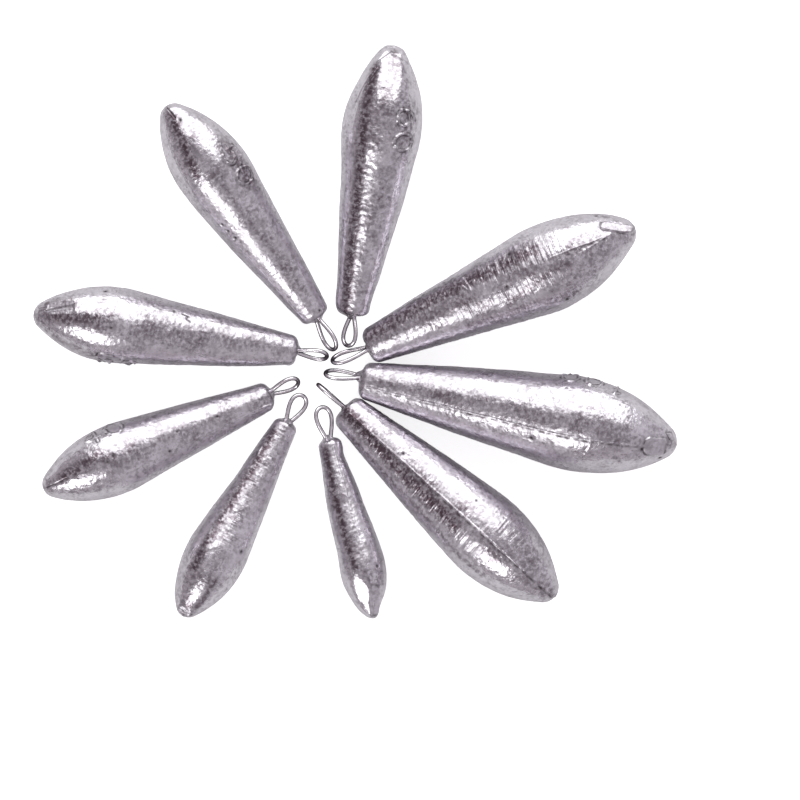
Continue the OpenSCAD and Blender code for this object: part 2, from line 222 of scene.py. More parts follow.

# Dark bands, partly tarnish and partly painted dark reflection: weight: [(strength, width, [(distance along,
# place), ...]), ...]
TARNISH_AND_SHADE_BANDS = {
    100: [(0.40, 2.8, [(4, 86), (20, 84), (42, 87), (52, 84)])],
    80: [(0.95, 3.8, [(2, 58), (10, 54), (24, 55), (32, 61), (37, 59)]),
         (0.70, 2.4, [(29, 114), (39, 97), (42, 97)]),
         (0.45, 2.4, [(41, 143), (34, 133), (20, 128)])],
    70: [(1.15, 3.0, [(1, 94), (9, 103), (17, 108), (25, 108), (31, 108)]),
         (0.50, 5.0, [(41, 63), (46, 62)]),
         (0.50, 1.2, [(4, 145), (16, 140), (30, 136), (41, 142)])],
    60: [(1.00, 2.6, [(1, 64), (12, 63), (21, 66), (35, 64), (42, 60), (47, 51)]),
         (0.50, 4.2, [(33, 127), (41, 127)])],
    55: [(0.90, 2.6, [(47.5, 92), (44, 92), (38.5, 98)]), (0.50, 1.8, [(49.5, 60), (45, 30), (38, 30)]),
         (0.60, 2.8, [(48, 125), (44, 118)])],
    50: [(1.00, 2.4, [(47.5, 86), (43.7, 77), (39.7, 70), (36, 65)]),
         (0.50, 1.4, [(35, 91), (25, 90), (15, 98), (5, 107)]),
         (0.65, 4.2, [(29, 132), (37, 130)])],
    40: [(0.90, 2.6, [(42.6, 96), (38.4, 104), (35, 107), (33, 92)]),
         (0.45, 1.5, [(33, 85), (20, 88), (10, 88)])],
    30: [(1.00, 2.2, [(3, 119), (11.5, 114), (24.4, 115), (33, 116)]), (0.80, 1.2, [(33.5, 66), (39, 60)])],
    15: [(1.00, 1.8, [(2, 117), (8, 116), (14, 115), (19.5, 112), (25, 103)])],
}

# Height in mm to which the lead crept up the wire's legs
COLLARS = {100: 1.0, 80: 0.4, 70: 0.4, 60: 0.6, 55: 0.5, 50: 0.5, 40: 0.6, 30: 0.6, 15: 0.7}

# Round marks: weight: [(distance along, place, radius, height), ...]. A negative height is a pit.
SPOTS = {
    # The 100 g pit at 55.7 mm and 115 degrees is painted shade on the far side of the gate flat's raised rim
    100: [(34.8, 122, 0.42, -0.22), (55.7, 115, 0.48, -0.25), (58.9, 150, 0.30, -0.12)],
    80: [(29.7, 91, 0.40, -0.14), (32.4, 48, 0.45, -0.14), (50.0, 20, 0.35, -0.12), (24.0, 60, 0.45, 0.09),
         (40.7, 143, 0.45, 0.16), (38.9, 147, 0.40, -0.12)],
    70: [(31.0, 60, 0.30, -0.08), (14.5, 78, 0.35, -0.10)],
    60: [(50.4, 5, 0.35, -0.15), (22.9, 10, 0.35, 0.12), (9.9, 150, 0.4, 0.06)],
    55: [(25.1, 92, 0.28, 0.12), (37.9, 151, 0.40, -0.14), (36.2, 85, 0.35, -0.10),
         (24.5, 134, 0.3, -0.08)],
    50: [(21.8, 48, 0.42, -0.20), (23.7, 46, 0.34, -0.18), (25.3, 45, 0.30, -0.15),
         (46.1, 100, 0.35, -0.15), (1.0, 115, 0.30, -0.12)],
    40: [(22.7, 68, 0.45, 0.16), (22.2, 62, 0.30, -0.10), (11.2, 90, 0.30, -0.10), (19.5, 93, 0.28, -0.08),
         (32.7, 96, 0.40, -0.14), (34.1, 90, 0.35, -0.12)],
    30: [(26.1, 45, 0.40, -0.10), (7.4, 135, 0.40, 0.08)],
    15: [(25.6, 47, 0.36, -0.16), (1.2, 28, 1.30, 0.35)],
}

# Lines: weight: [(height, width, [(distance along, place), ...]), ...]. A negative height is a groove.
LINES = {
    100: [(0.18, 0.4, [(56.8, 88), (55.9, 97), (55.7, 106)]), (-0.14, 0.4, [(55.9, 117), (56.4, 126)]),
          (0.10, 0.4, [(46.3, 114), (45.1, 133)]),
          (0.08, 0.35, [(21.0, 112), (24.5, 109)]), (-0.10, 0.3, [(60.2, 40), (59.2, 60), (60.2, 80)])],
    80: [(0.10, 0.5, [(51.3, 79), (48.7, 86), (43.5, 93)]),
         (0.10, 0.6, [(22.2, 40), (22.8, 62), (23.0, 74)]),
         (0.08, 0.45, [(21.2, 50), (22.6, 72)]), (0.12, 0.5, [(36.5, 150), (42.0, 146)])],
    70: [(0.14, 0.45, [(37.6, 48), (37.9, 75)]), (0.08, 0.4, [(38.4, 55), (38.6, 72)])],
    60: [(0.12, 0.6, [(40.5, 36), (44.5, 42), (47.2, 54)]), (-0.12, 0.5, [(45.0, 50), (47.4, 60)]),
         (-0.14, 0.3, [(48.3, 44), (50.2, 62), (51.6, 90)])],
    55: [(0.10, 0.35, [(44.0, 112), (48.4, 102)]), (0.09, 0.35, [(43.6, 124), (47.4, 116), (49.4, 112)]),
         (-0.10, 0.4, [(43.8, 118), (48.6, 108)]),
         (-0.14, 0.5, [(21.2, 118), (22.0, 122), (21.6, 129), (22.8, 131)])],
    50: [(-0.12, 0.4, [(47.0, 92), (49.2, 88)])],
    40: [(-0.12, 0.4, [(42.2, 93), (44.5, 90), (46.2, 91)]), (0.22, 0.7, [(0.6, 48), (2.2, 56)])],
    30: [(0.12, 0.4, [(40.4, 40), (41.0, 90), (40.4, 140)]), (0.09, 0.45, [(6.4, 132), (8.4, 128)]),
         (0.07, 0.4, [(26.8, 104), (28.4, 122)]), (0.07, 0.4, [(27.8, 96), (29.4, 114)])],
    15: [(0.10, 0.3, [(31.0, 62), (32.6, 76), (34.1, 110)])],
}

# Values that a casting's mesh hands to its material
LEAD_VALUES = ("grime", "cut", "tarnish", "scored", "polish")

# Colours of the lead: bright and dim metal, stains, mottling, flecks, specks, the tarnish and painted
# shade of the dark bands, the blots in them, grime with painted shade, and metal that was cut
BRIGHT, DIM = (0.844, 0.803, 0.868), (0.764, 0.724, 0.784)
STAINED, MOTTLED, FLECKED = (0.415, 0.373, 0.408), (0.265, 0.230, 0.264), (0.155, 0.131, 0.157)
SPECKED, TARNISH_AND_SHADE_TONE, BLOTTED = (0.15, 0.10, 0.11), (0.255, 0.217, 0.245), (0.118, 0.082, 0.100)
GRIME_AND_SHADE_TONE, FRESHLY_CUT = (0.04, 0.028, 0.033), (0.60, 0.56, 0.62)

# Colours of the wire: bright and dull metal, and the painted shade on its flanks
WIRE_BRIGHT, WIRE_DULL, WIRE_FLANK_SHADE = (0.84, 0.80, 0.85), (0.62, 0.57, 0.60), (0.10, 0.085, 0.095)

# The table: how much light it scatters, and the white added in mirrors and for the camera
TABLE_MATT, TABLE_MIRRORED, TABLE_DIRECT = 0.73, 0.02, 0.77

# The room's darker and lighter wall, and the direction in which it grows lighter
DARK_WALL, LIGHT_WALL, LIGHTER_WAY = (0.43, 0.399, 0.421), (0.64, 0.623, 0.654), (0.85, 0.50, 0.0)
WHITE = (1.0, 1.0, 1.0)

# Soft lamps: name: (place, width and height in metres, radiance), and their colour
LAMPS = {
    "key_softbox": ((0.035, 0.705, 0.430), 1.06, 1.00, 1.80),
    "fill_softbox": ((-0.330, -0.560, 0.595), 0.46, 0.42, 3.40),
}
LAMP_COLOUR = (0.96, 1.0, 0.965)


def turn(x, y, degrees):
    """Turns the pair of coordinates about the origin by an angle, anticlockwise."""
    c, s = math.cos(math.radians(degrees)), math.sin(math.radians(degrees))
    return x * c - y * s, x * s + y * c


def noise(points, size, seed):
    """Smooth random heights of about -1 to 1 for points in space, with waves of the given size.

    Every corner of a cubic lattice has a random slope. A point takes the eight nearest corners'
    slopes times its distance from them, blended by 6t^5 - 15t^4 + 10t^3 along each axis.
    """
    rng = np.random.default_rng(seed)
    order = rng.permutation(256)
    slopes = rng.normal(size=(256, 3))
    slopes /= np.linalg.norm(slopes, axis=1, keepdims=True)
    cell = points / size
    corner = np.floor(cell).astype(int)
    part = cell - corner
    fade = part ** 3 * (part * (part * 6 - 15) + 10)
    total = np.zeros(points.shape[:-1])
    for step in np.ndindex(2, 2, 2):
        at = corner + step
        pick = order[(order[(order[at[..., 0] & 255] + at[..., 1]) & 255] + at[..., 2]) & 255]
        slope = (slopes[pick] * (part - step)).sum(axis=-1)
        share = np.where(np.array(step) == 1, fade, 1 - fade).prod(axis=-1)
        total += share * slope
    return total * 1.6


def outline_facts(s):
    """The centres, radii and angles of a lead's outline, from its driving sizes.

    The outline is the neck's flat face, a rounded edge, a straight cone, a long nose arc and a
    small tip arc, each one tangent to the next.
    """
    belly_r = s["belly"] / 2
    nose_r = NOSE_SHARE * belly_r
    tip_r = TIP_SHARE * belly_r
    edge_r = EDGE_SHARE * s["neck"]
    face_r = s["neck"] / 2 - edge_r
    drop = nose_r - belly_r
    reach = math.sqrt((nose_r - tip_r) ** 2 - drop ** 2)
    belly_x = s["length"] - reach - tip_r
    run, rise = belly_x - edge_r, -drop - face_r
    taper = math.atan2(rise, run) + math.asin((nose_r - edge_r) / math.hypot(run, rise))
    height = face_r * math.cos(taper) + edge_r * (1 - math.sin(taper))
    return dict(nose_r=nose_r, tip_r=tip_r, edge_r=edge_r, face_r=face_r, drop=drop, belly_x=belly_x,
                taper=taper, lean=math.atan2(drop, reach), height=height)


def outline(s, f):
    """Points and outward angles along a lead's outline, from the neck's centre to the tip.

    Each stretch has as many steps as its length holds row steps, and the two small arcs twice
    as many. Returns the distances along the axis, the radii and the normals' angles to the axis.
    """
    start = math.pi / 2 + f["taper"]
    edge = (f["edge_r"], f["face_r"], f["edge_r"], math.pi, start, 2)
    nose = (f["belly_x"], -f["drop"], f["nose_r"], start, f["lean"], 1)
    tip = (s["length"] - f["tip_r"], 0.0, f["tip_r"], f["lean"], 0.0, 2)
    stretches = []
    face_steps = round(f["face_r"] / ROW_STEP)
    face = np.linspace(0, 1, face_steps, endpoint=False)
    stretches.append((face * 0, face * f["face_r"], face * 0 + math.pi))
    arcs = []
    for x, y, r, a, b, finer in (edge, nose, tip):
        turns = np.linspace(a, b, round(finer * r * abs(b - a) / ROW_STEP) + 1)
        arcs.append((x + r * np.cos(turns), y + r * np.sin(turns), turns))
    first, last = arcs[0], arcs[1]
    cone_run = math.hypot(last[0][0] - first[0][-1], last[1][0] - first[1][-1])
    cone = np.linspace(0, 1, round(cone_run / ROW_STEP) + 1)[1:-1]
    stretches.append(arcs[0])
    stretches.append((first[0][-1] + cone * (last[0][0] - first[0][-1]),
                      first[1][-1] + cone * (last[1][0] - first[1][-1]), cone * 0 + start))
    stretches.append(arcs[1])
    stretches.append(tuple(a[1:] for a in arcs[2]))
    along, radius, lean = (np.concatenate(column) for column in zip(*stretches))
    radius[-1] = 0.0
    return along, radius, lean


def column_places(s):
    """Angles of the grid's columns round a lead in radians, closer together at the two seams.

    The angles are read back from the running sum of a density that peaks at the seams.
    """
    count = 8 * round(math.pi * s["belly"] / COLUMN_STEP / 8)
    fine = np.linspace(0, 360, 3601)
    off = (fine - s["seam"] + 90) % 180 - 90
    density = 1 + (SEAM_CLOSER - 1) * np.exp(-(off / SEAM_CLOSER_WIDTH) ** 2)
    summed = np.concatenate([[0], np.cumsum((density[1:] + density[:-1]) / 2)])
    return np.radians(np.interp(np.arange(count) / count * summed[-1], summed, fine))


class Lead:
    """The grid of one lead: its mould surface in mm, and the relief that is gathered on it."""

    def __init__(self, weight):
        s = SINKERS[weight]
        self.weight, self.s, self.f = weight, s, outline_facts(s)
        self.x, self.r, self.lean = (a[:, None] for a in outline(s, self.f))
        self.place = column_places(s)[None, :]
        ring = np.ones_like(self.place)
        left, up = np.cos(self.place), np.sin(self.place)
        self.base = np.stack([self.x * ring, self.r * left, self.r * up], axis=-1)
        self.out = np.stack([np.cos(self.lean) * ring, np.sin(self.lean) * left, np.sin(self.lean) * up],
                            axis=-1)
        self.relief, self.grime, self.cut, self.scored = (np.zeros(self.base.shape[:2]) for _ in range(4))
        # Painted shade: a darker band, broken into clouds, along every lead's top
        top = np.exp(-((np.degrees(self.place) - TOP_PLACE) / TOP_WIDTH) ** 2) * (self.lean < FACE_LEAN)
        clouds = np.clip(1 + 1.2 * noise(self.base, CLOUD_SIZE, weight + SEEDS["clouds"]), 0.2, 2.0)
        self.tarnish = TOP_SHADE * top * clouds
        self.polish = np.interp(self.x / s["length"], (POLISHED_FROM, NOSE_FROM), (0.0, 1.0)) * ring

    def near(self, along, place, reach):
        """Rows and columns within reach of a point, and their distances along and round from it."""
        rows = np.flatnonzero(np.abs(self.x[:, 0] - along) < reach)
        r_here = max(float(np.interp(along, self.x[:, 0], self.r[:, 0])), 0.3)
        off = (np.degrees(self.place[0]) - place + 180) % 360 - 180
        columns = np.flatnonzero(np.abs(np.radians(off)) * r_here < reach)
        u = (self.x[rows] - along) + np.zeros(len(columns))
        v = np.radians(off[columns])[None, :] * self.r[rows]
        return np.ix_(rows, columns), u, v

    def spot(self, along, place, radius, height, gathers_grime_and_shade=True):
        """A round mark whose height falls off as exp(-(distance / radius)^2); pits are darkened, most as
        grime and one on the 100 g lead as painted shade.
        """
        at, u, v = self.near(along, place, 2.6 * radius)
        shape = np.exp(-(u ** 2 + v ** 2) / radius ** 2)
        self.relief[at] += height * shape
        if gathers_grime_and_shade and height < 0:
            self.grime[at] = np.maximum(self.grime[at], shape)

    def distance(self, along, place, points, margin):
        """Distance in mm from a chain of points given as (u, v) from a place on the lead."""
        reach = max(math.hypot(u, v) for u, v in points) + margin
        at, u, v = self.near(along, place, reach)
        nearest = np.full(u.shape, 1e9)
        for (ua, va), (ub, vb) in zip(points[:-1], points[1:]):
            du, dv = ub - ua, vb - va
            t = np.clip(((u - ua) * du + (v - va) * dv) / max(du * du + dv * dv, 1e-9), 0, 1)
            nearest = np.minimum(nearest, np.hypot(u - ua - t * du, v - va - t * dv))
        return at, nearest

    def stroke(self, along, place, points, width, height, foot=0.0):
        """A raised or sunk line through points given as (u, v) in mm from a place on the lead.

        Its cross-section is a round-topped bank, 1 - (distance / half the width)^2 to the power
        of 1.5. A groove gathers grime. A line with a foot is worn unevenly and has painted shade along its
        feet.
        """
        at, nearest = self.distance(along, place, points, width)
        shape = np.clip(1 - (nearest / (width / 2)) ** 2, 0, 1) ** 1.5
        if foot:
            worn = noise(self.base[at], WEAR_SIZE, self.weight + SEEDS["wear"])
            shape = shape * np.clip(0.8 + 2.0 * worn, 0.1, 1.5)
            foot = foot * np.clip(0.6 - 1.8 * worn, 0.05, 1.0)
        self.relief[at] += height * shape
        # Painted shade along both feet of a raised line
        beside = foot * np.exp(-((nearest - width / 2 - 0.02) / FOOT_WIDTH) ** 2)
        self.grime[at] = np.maximum(self.grime[at], 0.8 * shape if height < 0 else beside)

    def unrolled(self, stops):
        """Points in mm from the first stop, for stops given by distance along the axis and place."""
        along, place = stops[0]
        radii = np.interp([x for x, _ in stops], self.x[:, 0], self.r[:, 0])
        return [(x - along, math.radians(p - place) * r) for (x, p), r in zip(stops, radii)]

    def line(self, height, width, stops):
        """A stroke whose points are given by their distance along the axis and their place."""
        self.stroke(*stops[0], self.unrolled(stops), width, height)

    def smear(self, strength, width, stops):
        """A dark band of tarnish and painted dark reflection that falls off as exp(-(distance / half the
        width)^2).
        """
        at, nearest = self.distance(*stops[0], self.unrolled(stops), 2 * width)
        self.tarnish[at] = np.maximum(self.tarnish[at], strength * np.exp(-(nearest / (width / 2)) ** 2))


def arc_points(x, y, rx, ry, a, b):
    """Points on an elliptic arc from angle a to angle b in degrees, about every 15 degrees."""
    turns = np.radians(np.linspace(a, b, max(2, round(abs(b - a) / 15) + 1)))
    return [(x + rx * math.cos(t), y + ry * math.sin(t)) for t in turns]


# Figures as strokes in a box one unit wide and one unit tall, centred on zero
FIGURE_STROKES = {
    "0": [arc_points(0, 0, 0.5, 0.5, 0, 360)],
    "1": [[(-0.2, 0.3), (0.05, 0.5), (0.05, -0.5)]],
    "4": [[(0.25, -0.5), (0.25, 0.5), (-0.45, -0.2), (0.5, -0.2)]],
    "5": [[(0.42, 0.5), (-0.35, 0.5), (-0.4, 0.06)] + arc_points(0, -0.17, 0.45, 0.33, 120, -140)],
    "6": [arc_points(0, -0.18, 0.46, 0.32, 0, 360), arc_points(0.25, -0.15, 0.7, 0.66, 180, 95)],
}


def raise_figures(lead, figures, along, place, left):
    """Raised figures read from the tip towards the neck, with their tops away from the seam."""
    first = (len(figures) - 1) / 2
    for k, figure in enumerate(figures):
        shift = (first - k) * FIGURE_PITCH
        for stroke in FIGURE_STROKES[figure]:
            points = [(shift - x * FIGURE_WIDE, y * FIGURE_TALL) for x, y in stroke]
            lead.stroke(along, place, points, FIGURE_STROKE, left * FIGURE_HEIGHT, FIGURE_FOOT_SHADE)


def raise_seam(lead):
    """Flash and a small step along the mould's parting line, on both sides of the lead.

    The ridge is exp(-(distance / width)^2) high and thins out in places; beside it the two
    halves of the mould differ in level by a smooth step, and grime lies there in dashes.
    """
    s = lead.s
    run = np.stack([lead.x[:, 0], 0 * lead.x[:, 0], 0 * lead.x[:, 0]], axis=-1)
    for side, seed in ((0, SEEDS["seam"]), (180, SEEDS["far_seam"])):
        wander = SEAM_WANDER * noise(run, WANDER_SIZE, lead.weight + seed)[:, None]
        rough = np.clip(0.65 + 0.6 * noise(run, THIN_SIZE, lead.weight + seed + 7)[:, None], 0.05, 1.2)
        off = (np.degrees(lead.place) - s["seam"] - side + 180) % 360 - 180
        away = np.radians(off) * lead.r + wander
        near = np.abs(off) < 60
        fade = np.clip(lead.r / 1.5, 0, 1) * np.clip((lead.x - lead.f["edge_r"]) / 0.5, 0, 1)
        fade = fade * np.interp(lead.x, *zip(*SEAMS[lead.weight]))
        ridge = np.exp(-(away / SEAM_WIDTH) ** 2) * rough * fade
        step = np.tanh(away / SEAM_WIDTH) * np.exp(-(away / STEP_REACH) ** 2) * fade
        wide = 0.06 + 0.14 * fade
        dashes = np.clip(0.6 + 1.5 * noise(run, DASH_SIZE, lead.weight + seed + 17)[:, None], 0.1, 1)
        beside = np.exp(-((away - 0.2 - 0.8 * wide) / wide) ** 2) * np.clip(fade, 0, 1) * dashes
        lead.relief += near * (SEAM_HEIGHT * ridge + SEAM_STEP * step - SEAM_GROOVE * beside)
        lead.grime = np.maximum(lead.grime, near * 0.85 * beside)


def raise_cast_skin(lead):
    """The cast skin: slow waves, small dents, isotropic grain and rings from the turned mould.

    The rings are noise that is squeezed along the axis and drawn out round it.
    """
    s, w, mould = lead.s, lead.weight, lead.base
    waves = noise(mould, WAVE_SIZE, w + SEEDS["waves"])
    lead.relief += s["dents"] * WAVE_HEIGHT * waves * np.clip(lead.r / 3, 0, 1)
    lead.relief += s["dents"] * DENT_HEIGHT * noise(mould, DENT_SIZE, w + SEEDS["dents"])
    patches = np.clip(0.9 + 0.9 * noise(mould, GRAIN_PATCH_SIZE, w + SEEDS["grain_patches"]), 0.15, 2.0)
    patches = patches * np.interp(lead.x / s["length"], (GRAIN_FADES_FROM, NOSE_FROM), (1.0, 0.5))
    lead.relief += s["grain"] * GRAIN_HEIGHT * noise(mould, GRAIN_SIZE, w + SEEDS["grain"]) * patches
    drawn = mould / np.array([1.0, RING_REACH / RING_SIZE, RING_REACH / RING_SIZE])
    patches = np.clip(0.8 + 1.1 * noise(mould, RING_PATCH_SIZE, w + SEEDS["ring_patches"]), 0.1, 2.2)
    strength = patches * np.interp(lead.x, *zip(*RINGS[w]))
    lead.relief += RING_HEIGHT * strength * noise(drawn, RING_SIZE, w + SEEDS["rings"])
    lead.scored += 0.4 * strength


def sink_random_pits(lead):
    """Small gas pits at random over the lead, from its own seed."""
    rng = np.random.default_rng(lead.weight + SEEDS["pits"])
    for along, place, radius, depth in rng.uniform(PIT_LEAST, PIT_MOST, (PIT_COUNT, 4)):
        lead.spot(along * lead.s["length"], place, radius, -depth, gathers_grime_and_shade=False)


def raise_collar(lead):
    """Lead that crept up the two legs where they leave the neck's face."""
    across = lead.s["side"] * EYE_WIDTH
    face = lead.x < lead.f["edge_r"]
    for side in (-1, 1):
        away = np.hypot(lead.base[..., 1] - across - side * (WIRE + LEG_GAP) / 2, lead.base[..., 2])
        lead.relief += COLLARS[lead.weight] * np.exp(-(away / COLLAR_WIDTH) ** 2) * face
    crown = np.clip(1 - (lead.r / (lead.s["neck"] / 2)) ** 2, 0, 1)
    uneven = 1 + noise(lead.base, CROWN_SIZE, lead.weight + SEEDS["crown"])
    lead.relief += CROWN_HEIGHT * crown * face * uneven


def cut_gate(lead, points):
    """Makes the flat that the gate left: the skin inside a rounded rectangle moves onto a plane.

    The rectangle's rounded outline is (u / half length)^5 + (v / half width)^5 = 1, and the plane
    lies square to the skin at its middle. Painted shade lies along stretches of its rim.
    """
    along, place, half_length, half_width, angle, depth, dullness = GATES[lead.weight]
    at, u, v = lead.near(along, place, 1.5 * max(half_length, half_width))
    u, v = turn(u, v, -angle)
    inside = 1 - (np.abs(u / half_length) ** 5 + np.abs(v / half_width) ** 5) ** (1 / 5)
    inside = inside * min(half_length, half_width)
    share = np.clip(inside / FLAT_CORNER, 0, 1)
    share = share * share * (3 - 2 * share)
    row = np.abs(lead.x[:, 0] - along).argmin()
    column = np.abs(np.degrees(lead.place[0]) - place).argmin()
    normal = lead.out[row, column]
    foot = points[row, column] - depth * normal
    beyond = (points[at] - foot) @ normal
    points[at] -= (share * beyond)[..., None] * normal
    lead.cut[at] = dullness * share
    broken = np.clip(0.35 + 1.6 * noise(points[at], RIM_SIZE, lead.weight + SEEDS["rim"]), 0.0, 1.0)
    # Painted shade in broken stretches along the flat's rim
    rim = 0.85 * broken * dullness * np.exp(-(inside / RIM_WIDTH) ** 2)
    lead.grime[at] = np.maximum(lead.grime[at], rim)


def rub_facet(lead, points):
    """Rubs a shiny facet: the skin that stands above a plane moves most of the way down to it.

    How far it moves falls off as the root of 1 - (u / half length)^4 - (v / half width)^4, and the part of
    the skin above the plane is (beyond + sqrt(beyond^2 + corner^2)) / 2, a rounded corner.
    """
    along, place, half_length, half_width, depth, facing_along, facing_place = FACETS[lead.weight]
    at, u, v = lead.near(along, place, 1.3 * max(half_length, half_width))
    share = FACET_SHARE * np.clip(1 - (u / half_length) ** 4 - (v / half_width) ** 4, 0, 1) ** 0.5
    row, facing_row = (np.abs(lead.x[:, 0] - x).argmin() for x in (along, facing_along))
    column, facing_column = (np.abs(np.degrees(lead.place[0]) - p).argmin() for p in (place, facing_place))
    normal = lead.out[facing_row, facing_column]
    foot = points[row, column] - depth * lead.out[row, column]
    beyond = (points[at] - foot) @ normal
    points[at] -= (share * (beyond + np.hypot(beyond, FACET_CORNER)) / 2)[..., None] * normal


def neck_place(weight):
    """The middle of the neck's face seen from above, in mm, from the record's mount on the eye.

    The mount lies along the loop from where the loop leaves the neck, so the place is found by
    going back along the eye's direction and across by the eye's shift.
    """
    s = SINKERS[weight]
    mounts = {m["name"]: m for m in frame["record"]["mounts"]}
    x, y, _ = (v / MM for v in mounts["eye_of_%dg" % weight]["pos_m"])
    along = LEG_OUT + (s["eye"] - WIRE / 2 - LEG_OUT) * WIDEST_SHARE
    ex, ey = turn(along, 0.0, s["angle"] + 180 + s["bend"])
    fx, fy = turn(0.0, s["side"] * EYE_WIDTH, s["angle"])
    return x - ex - fx, y - ey - fy


def lay_at_neck(points, weight, facts):
    """Takes points from the neck's level frame to the table, and from mm to metres."""
    x, y = turn(points[..., 0], points[..., 1], SINKERS[weight]["angle"])
    neck_x, neck_y = neck_place(weight)
    laid = np.stack([x + neck_x, y + neck_y, points[..., 2] + facts["height"]], axis=-1)
    laid[..., 2] = np.maximum(laid[..., 2], 0.0)
    return laid * MM


def closed_mesh(name, grid, attributes):
    """A mesh from a grid of points whose first and last rows are single points.

    Rows run along the shape and columns run round it. Quads join neighbouring rows and fans of
    triangles close the two ends; all faces point outwards. Attributes are grids of values.
    """
    rows, columns = grid.shape[:2]
    inner = grid[1:-1].reshape(-1, 3)
    points = np.concatenate([inner, grid[:1, 0], grid[-1:, 0]])
    ring = np.arange(columns)
    after = (ring + 1) % columns
    start = (np.arange(rows - 3) * columns)[:, None]
    around = (start + ring, start + after, start + columns + after, start + columns + ring)
    quads = np.stack(around, axis=-1)
    first, last = len(inner), len(inner) + 1
    end = (rows - 3) * columns
    near_fan = np.stack([np.full(columns, first), after, ring], axis=-1)
    far_fan = np.stack([np.full(columns, last), end + ring, end + after], axis=-1)
    corners = np.concatenate([quads.ravel(), near_fan.ravel(), far_fan.ravel()])
    sizes = np.concatenate([np.full(quads.shape[0] * columns, 4), np.full(2 * columns, 3)])
    mesh = bpy.data.meshes.new(name)
    mesh.vertices.add(len(points))
    mesh.vertices.foreach_set("co", points.astype(np.float32).ravel())
    mesh.loops.add(len(corners))
    mesh.loops.foreach_set("vertex_index", corners.astype(np.int32))
    mesh.polygons.add(len(sizes))
    mesh.polygons.foreach_set("loop_start", (np.cumsum(sizes) - sizes).astype(np.int32))
    mesh.update(calc_edges=True)
    mesh.shade_smooth()
    for label, values in attributes.items():
        flat = np.concatenate([values[1:-1].reshape(-1, *values.shape[2:]), values[:1, 0], values[-1:, 0]])
        vector = values.ndim == 3
        kind = "FLOAT_VECTOR" if vector else "FLOAT"
        made = mesh.attributes.new(label, kind, "POINT")
        made.data.foreach_set("vector" if vector else "value", flat.astype(np.float32).ravel())
    piece = bpy.data.objects.new(name, mesh)
    bpy.context.scene.collection.objects.link(piece)
    return piece


def casting(weight):
    """One lead casting, with everything that the mould and the knife left on it."""
    lead = Lead(weight)
    raise_cast_skin(lead)
    raise_seam(lead)
    raise_collar(lead)
    for swell in SWELLS[weight]:
        lead.spot(*swell, gathers_grime_and_shade=False)
    points = lead.base + lead.relief[..., None] * lead.out
    if weight in GATES:
        cut_gate(lead, points)
    if weight in FACETS:
        rub_facet(lead, points)
    lead.relief[:] = 0
    sink_random_pits(lead)
    for spot in SPOTS[weight]:
        lead.spot(*spot)
    for mark in LINES[weight]:
        lead.line(*mark)
    # Dark bands: tarnish together with painted dark reflection
    for band in TARNISH_AND_SHADE_BANDS[weight]:
        lead.smear(*band)
    if weight in FIGURES:
        raise_figures(lead, *FIGURES[weight])
    points += lead.relief[..., None] * lead.out
    points[0] = points[0].mean(axis=0)
    points[-1] = points[-1].mean(axis=0)
    tilted = points.copy()
    tilted[..., 0], tilted[..., 2] = turn(points[..., 0], points[..., 2], math.degrees(lead.f["taper"]))
    laid = lay_at_neck(tilted, weight, lead.f)
    values = {name: getattr(lead, name) for name in LEAD_VALUES}
    return closed_mesh("casting_%dg" % weight, laid, dict(values, mould=lead.base))


def loop_line(s, t):
    """The loop's centre line in its own plane, for t from 0 to 360 degrees.

    Along the axis it follows half a wave out and back. Across it, it starts at the legs' gap and
    swells as sin(t) times sin(t/2) to the power of the fullness, scaled to the eye's width.
    """
    pitch = WIRE + LEG_GAP
    peak = 2 * math.atan(math.sqrt(FULLNESS + 1))
    half = (EYE_WIDTH - WIRE) / 2 - pitch / 2 * math.cos(peak / 2)
    scale = 1 / (math.sin(peak) * math.sin(peak / 2) ** FULLNESS)
    x = LEG_OUT + (s["eye"] - WIRE / 2 - LEG_OUT) * (1 - np.cos(t)) / 2
    y = pitch / 2 * np.cos(t / 2) + half * scale * np.sin(t) * np.sin(t / 2) ** FULLNESS
    return np.stack([x, y], axis=-1)


def wire_line(s):
    """Evenly spaced points along the whole wire: one leg in the lead, the loop, the other leg."""
    end_y = (WIRE + LEG_GAP) / 2 + LEG_SPLAY
    loop = loop_line(s, np.radians(np.linspace(0, 360, 721)))
    path = np.concatenate([[[-LEG_IN, end_y]], loop, [[-LEG_IN, -end_y]]])
    run = np.concatenate([[0], np.cumsum(np.linalg.norm(np.diff(path, axis=0), axis=1))])
    even = np.linspace(0, run[-1], round(run[-1] / WIRE_STEP) + 1)
    return np.stack([np.interp(even, run, path[:, k]) for k in (0, 1)], axis=-1), even


